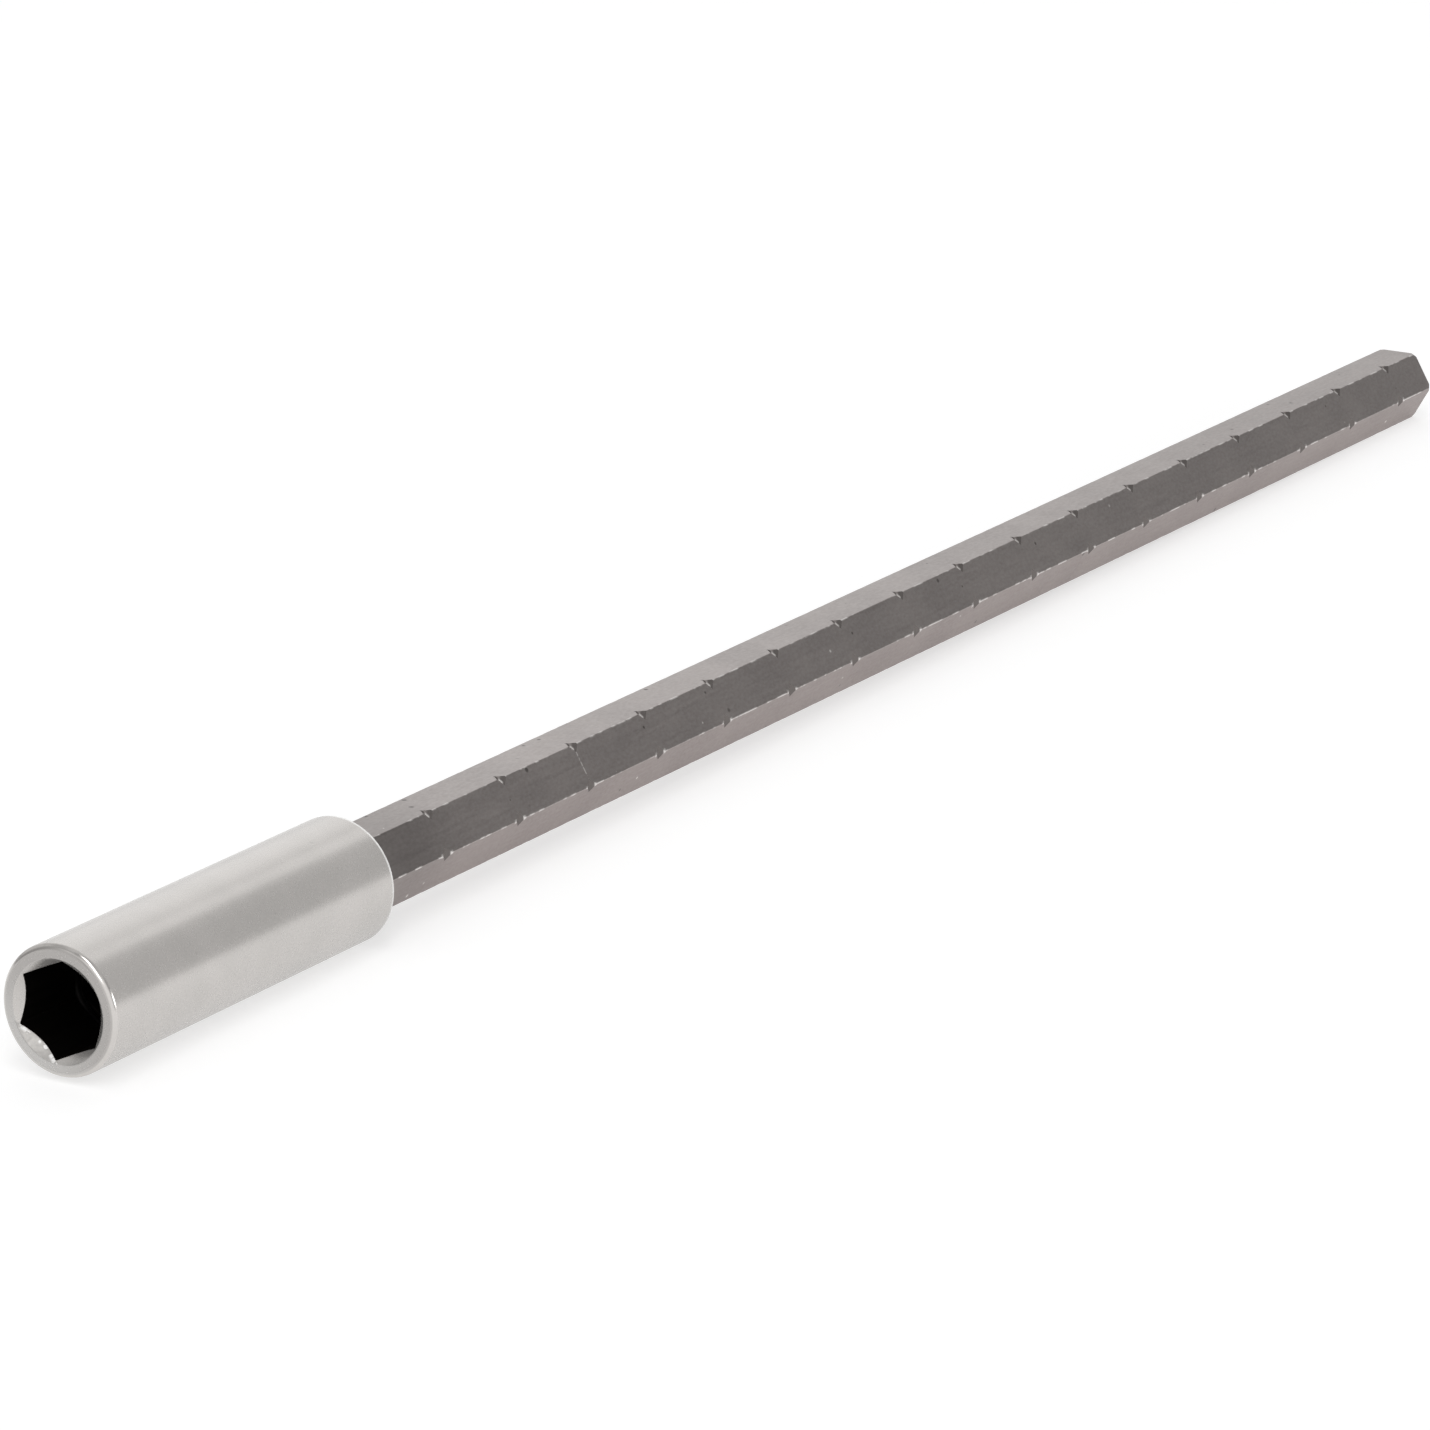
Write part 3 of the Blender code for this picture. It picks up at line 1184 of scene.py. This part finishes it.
@dataclass
class SeatMagnet:
    """Round magnet at the socket's bottom."""

    front: float
    rear: float
    radius: float
    edge: float = 0.2 * MM
    steps: int = 96
    finish: PlainMetal = PlainMetal(
        "magnet_plate", colour=(0.50, 0.50, 0.50), cloud=(0.42, 0.42, 0.42), rubbed=(0.62, 0.60, 0.55),
        roughness=0.22, along=3000.0, across=3000.0, rubbed_from=1.6 * MM, rubbed_to=2.6 * MM)

    def build(self) -> Object:
        """Builds the magnet's mesh.

        Returns:
            The magnet.
        """
        flat = self.radius - self.edge
        profile = [(0.0, self.rear), (flat / 2, self.rear)]
        profile += arc((flat, self.rear - self.edge), self.edge, 90.0, 0.0, steps=6)
        profile += arc((flat, self.front + self.edge), self.edge, 0.0, -90.0, steps=6)
        profile += [(flat / 2, self.front), (0.0, self.front)]
        magnet = turned("magnet_disc", profile, self.steps, closed=False)
        empty_slots(magnet, 1)
        lay_and_shade(magnet, sharp_angle=50.0)
        return magnet

    def dress(self, magnet: Object, effects: EffectLibrary) -> None:
        """Gives the magnet its finish."""
        magnet.data.materials[0] = self.finish.make(effects)


@dataclass
class RetainingRing:
    """C-shaped spring wire in the socket's groove, open at the top."""

    middle: float
    outer_radius: float
    wire: float
    opening: float = math.radians(50.0)
    points: int = 97
    sides: int = 16
    end_round: int = 4
    # Blackened spring wire, darkened further as painted shade in the socket.
    finish: PlainMetal = PlainMetal(
        "spring_wire", colour=(0.011, 0.010, 0.010), cloud=(0.007, 0.007, 0.007),
        rubbed=(0.018, 0.017, 0.017), roughness=0.55, along=6000.0, across=2500.0,
        rubbed_from=3.30 * MM, rubbed_to=3.32 * MM)

    @property
    def radius(self) -> float:
        """Radius of the wire's middle line."""
        return self.outer_radius - self.wire / 2

    def _hoop(self, shape: bmesh.types.BMesh, angle: float, size: float, ahead: float) -> list:
        """One hoop of the wire's skin.

        Args:
            shape: Mesh under construction.
            angle: Place round the tool, from +X of the upright piece.
            size: The hoop's size as a share of the wire's.
            ahead: Distance that the hoop is moved along the wire.

        Returns:
            The hoop's points.
        """
        out = Vector((math.cos(angle), math.sin(angle), 0.0))
        along = Vector((-math.sin(angle), math.cos(angle), 0.0))
        centre = self.radius * out + ahead * along
        half = self.wire / 2 * size
        turns = [2 * math.pi * i / self.sides for i in range(self.sides)]
        offsets = [math.cos(turn) * out + math.sin(turn) * Vector(UP) for turn in turns]
        return [shape.verts.new(centre + half * offset) for offset in offsets]

    def build(self) -> Object:
        """Builds the ring's mesh, a wire with rounded ends.

        Returns:
            The ring.
        """
        start = math.pi + self.opening / 2
        sweep = 2 * math.pi - self.opening
        cap = self.wire / 4
        trim = cap / self.radius
        step = (sweep - 2 * trim) / (self.points - 1)
        bends = [math.pi / 2 * (i + 1) / (self.end_round + 1) for i in range(self.end_round)]
        places = [(start, math.cos(bend), cap - cap * math.sin(bend)) for bend in reversed(bends)]
        places += [(start + trim + step * i, 1.0, 0.0) for i in range(self.points)]
        places += [(start + sweep, math.cos(bend), cap * math.sin(bend) - cap) for bend in bends]
        shape = bmesh.new()
        hoops = [self._hoop(shape, *place) for place in places]
        for a, b in zip(hoops, hoops[1:]):
            for i in range(self.sides):
                j = (i + 1) % self.sides
                shape.faces.new((a[i], a[j], b[j], b[i]))
        shape.faces.new(hoops[0])
        shape.faces.new(hoops[-1])
        bmesh.ops.recalc_face_normals(shape, faces=shape.faces)
        bmesh.ops.translate(shape, verts=shape.verts, vec=(0.0, 0.0, self.middle))
        ring = from_shape("wire_ring", shape)
        empty_slots(ring, 1)
        lay_and_shade(ring, sharp_angle=60.0)
        return ring

    def dress(self, ring: Object, effects: EffectLibrary) -> None:
        """Gives the ring its finish."""
        ring.data.materials[0] = self.finish.make(effects)


@dataclass(frozen=True)
class SoftBox:
    """Lamp that looks at the middle of the tool."""

    name: str
    way: Way
    width: float
    height: float
    power: float
    distance: float = 1.0

    def place(self) -> None:
        """Adds the lamp."""
        data = bpy.data.lights.new(self.name, "AREA")
        data.shape = "RECTANGLE"
        data.size = self.width
        data.size_y = self.height
        data.energy = self.power
        lamp = link(bpy.data.objects.new(self.name, data))
        low, high = CAD_BOX
        middle = (low + high) / 2
        lamp.location = middle + Vector(self.way).normalized() * self.distance
        lamp.rotation_euler = (middle - lamp.location).to_track_quat("-Z", "Y").to_euler()


@dataclass
class Studio:
    """White floor, soft light and the camera.

    The tool rests on the lowest points of the sleeve's rear and of the tail's end.
    """

    sleeve_low: Vector
    tail_low: Vector
    eye: tuple[float, float, float] = (-390.55 * MM, -280.90 * MM, 161.85 * MM)
    azimuth: float = math.radians(-58.871)
    elevation: float = math.radians(16.682)
    roll: float = math.radians(0.137)
    lens: float = 180.82
    sensor: float = 36.0
    nearest: float = 0.01
    farthest: float = 50.0
    floor_size: float = 12.0
    floor_grey: float = 0.50
    floor_white: float = 0.60
    floor_roughness: float = 0.9
    wall_low: float = 0.39
    wall_high: float = 0.365
    side_strip: float = 1.05
    zenith: float = 0.5
    back_near: float = 0.73
    back_far: float = 0.88
    screen: float = 0.5
    screen_way: Way = (-0.10, 0.90, 0.42)
    lamps: tuple[SoftBox, ...] = (
        SoftBox("overhead_box", way=(0.25, 0.62, 0.80), width=1.6, height=1.6, power=1.9),
        SoftBox("front_strip", way=(-0.52, -0.30, 0.79), width=0.24, height=0.9, power=2.5),
        SoftBox("side_box", way=(0.20, -0.95, 0.20), width=0.3, height=0.3, power=1.4),
    )

    def camera(self) -> None:
        """Places the camera."""
        data = bpy.data.cameras.new("camera")
        data.lens = self.lens
        data.sensor_width = self.sensor
        data.clip_start = self.nearest
        data.clip_end = self.farthest
        camera = link(bpy.data.objects.new("camera", data))
        level = Euler((math.pi / 2 - self.elevation, 0.0, self.azimuth)).to_matrix()
        camera.rotation_euler = (level @ Matrix.Rotation(self.roll, 3, "Z")).to_euler()
        camera.location = self.eye
        bpy.context.scene.camera = camera

    def floor(self) -> None:
        """Lays the floor under the points that the tool rests on."""
        shape = bmesh.new()
        bmesh.ops.create_grid(shape, x_segments=4, y_segments=4, size=self.floor_size / 2)
        floor = from_shape("floor", shape)
        rise = self.tail_low - self.sleeve_low
        floor.rotation_euler.y = -math.atan2(rise.z, rise.x)
        floor.location = self.sleeve_low
        floor.data.materials.append(self._floor_material())

    def _floor_material(self) -> Material:
        """Pale floor that keeps the shadow and shows as white to the camera and in the metal.

        Returns:
            The material.
        """
        material = bpy.data.materials.new("pale_floor")
        material.use_nodes = True
        nodes = Nodes(material.node_tree)
        path = nodes.add("ShaderNodeLightPath", "kind of ray").outputs
        mirrored = nodes.math("MAXIMUM", path["Is Glossy Ray"], path["Is Transmission Ray"])
        glow = (mirrored | path["Is Camera Ray"]) * self.floor_white
        shader = material.node_tree.nodes["Principled BSDF"]
        nodes.fill(shader, Base_Color=(self.floor_grey,) * 3, Roughness=self.floor_roughness)
        nodes.fill(shader, Specular_IOR_Level=0.0, Emission_Color=(1.0, 1.0, 1.0), Emission_Strength=glow)
        return material

    def world(self) -> None:
        """White surroundings with a grey wall in front of the tool and a grey screen at the back left."""
        world = bpy.data.worlds.new("white_studio")
        world.use_nodes = True
        bpy.context.scene.world = world
        nodes = Nodes(world.node_tree)
        way = nodes.add("ShaderNodeTexCoord", "way of the ray").outputs["Generated"]
        level = nodes.vector("MULTIPLY", way, (1.0, 1.0, 0.0))["Vector"]
        heading = nodes.vector("NORMALIZE", level)["Vector"]
        to_back = nodes.along(heading, TO_BACK)
        to_tail = nodes.along(heading, TO_TAIL)
        height = nodes.along(way, UP)
        backdrop = to_back.ramp(0.20, 0.50, self.back_near, self.back_far)
        strip = to_back.ramp(0.06, 0.20, self.side_strip - self.back_near, 0.0)
        overhead = height.ramp(0.62, 0.85, 1.0, self.zenith)
        screen = nodes.along(way, self.screen_way).ramp(0.60, 0.90, 1.0, self.screen)
        open_side = (backdrop + strip) * overhead * screen
        grey = height.ramp(0.0, 0.56, self.wall_low, self.wall_high)
        wall = to_back.ramp(-0.20, -0.13, 1.0, 0.0) * to_tail.ramp(-0.5, 0.1)
        wall = wall * height.ramp(0.6, 0.9, 1.0, 0.0)
        shown = nodes.lay(open_side, ("grey wall", wall, grey))
        nodes.fill(world.node_tree.nodes["Background"], Color=shown)

    def build(self) -> None:
        """Builds the whole studio."""
        bpy.context.scene.view_settings.view_transform = "Standard"
        self.camera()
        self.floor()
        self.world()
        for lamp in self.lamps:
            lamp.place()


def adopt(piece: Object, node: Node, body: Body) -> None:
    """Lets a piece stand for a node and move with its body.

    Args:
        piece: The finished piece.
        node: The node that it replaces.
        body: The body that it rides on.
    """
    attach(piece, body.value)
    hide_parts(node.label)
    faces = len(piece.data.polygons)
    LOG.info("%s stands for %s on %s, %d faces", piece.name, node.label, body.value, faces)


def main() -> None:
    """Builds the pieces in order, dresses them and sets the studio."""
    logging.basicConfig(level=logging.INFO, format="%(name)s: %(message)s")
    effects = EffectLibrary()
    sleeve_low, sleeve_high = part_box(Node.SLEEVE.label)
    shank_low, shank_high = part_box(Node.SHANK.label)
    magnet_low, magnet_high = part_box(Node.MAGNET.label)
    ring_low, ring_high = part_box(Node.RING.label)

    sleeve = SocketSleeve(mouth=sleeve_low[0], rear=sleeve_high[0], radius=sleeve_high[2])
    shank = HexShank(shoulder=sleeve_high[0] + SEAT_GAP, tail=shank_high[0], spigot_front=shank_low[0],
                     flats=shank_high[2] - shank_low[2])
    magnet = SeatMagnet(front=magnet_low[0], rear=magnet_high[0], radius=magnet_high[2])
    ring = RetainingRing(middle=(ring_low[0] + ring_high[0]) / 2, outer_radius=ring_high[1],
                         wire=ring_high[0] - ring_low[0])
    for maker, node, body in (
        (sleeve, Node.SLEEVE, Body.HOLDER),
        (shank, Node.SHANK, Body.HOLDER),
        (magnet, Node.MAGNET, Body.HOLDER),
        (ring, Node.RING, Body.RING),
    ):
        piece = maker.build()
        maker.dress(piece, effects)
        adopt(piece, node, body)

    studio = Studio(sleeve_low=Vector((sleeve_high[0], 0.0, sleeve_low[2])),
                    tail_low=Vector((shank_high[0], 0.0, shank_low[2])))
    studio.build()


if __name__ == "__main__":
    main()
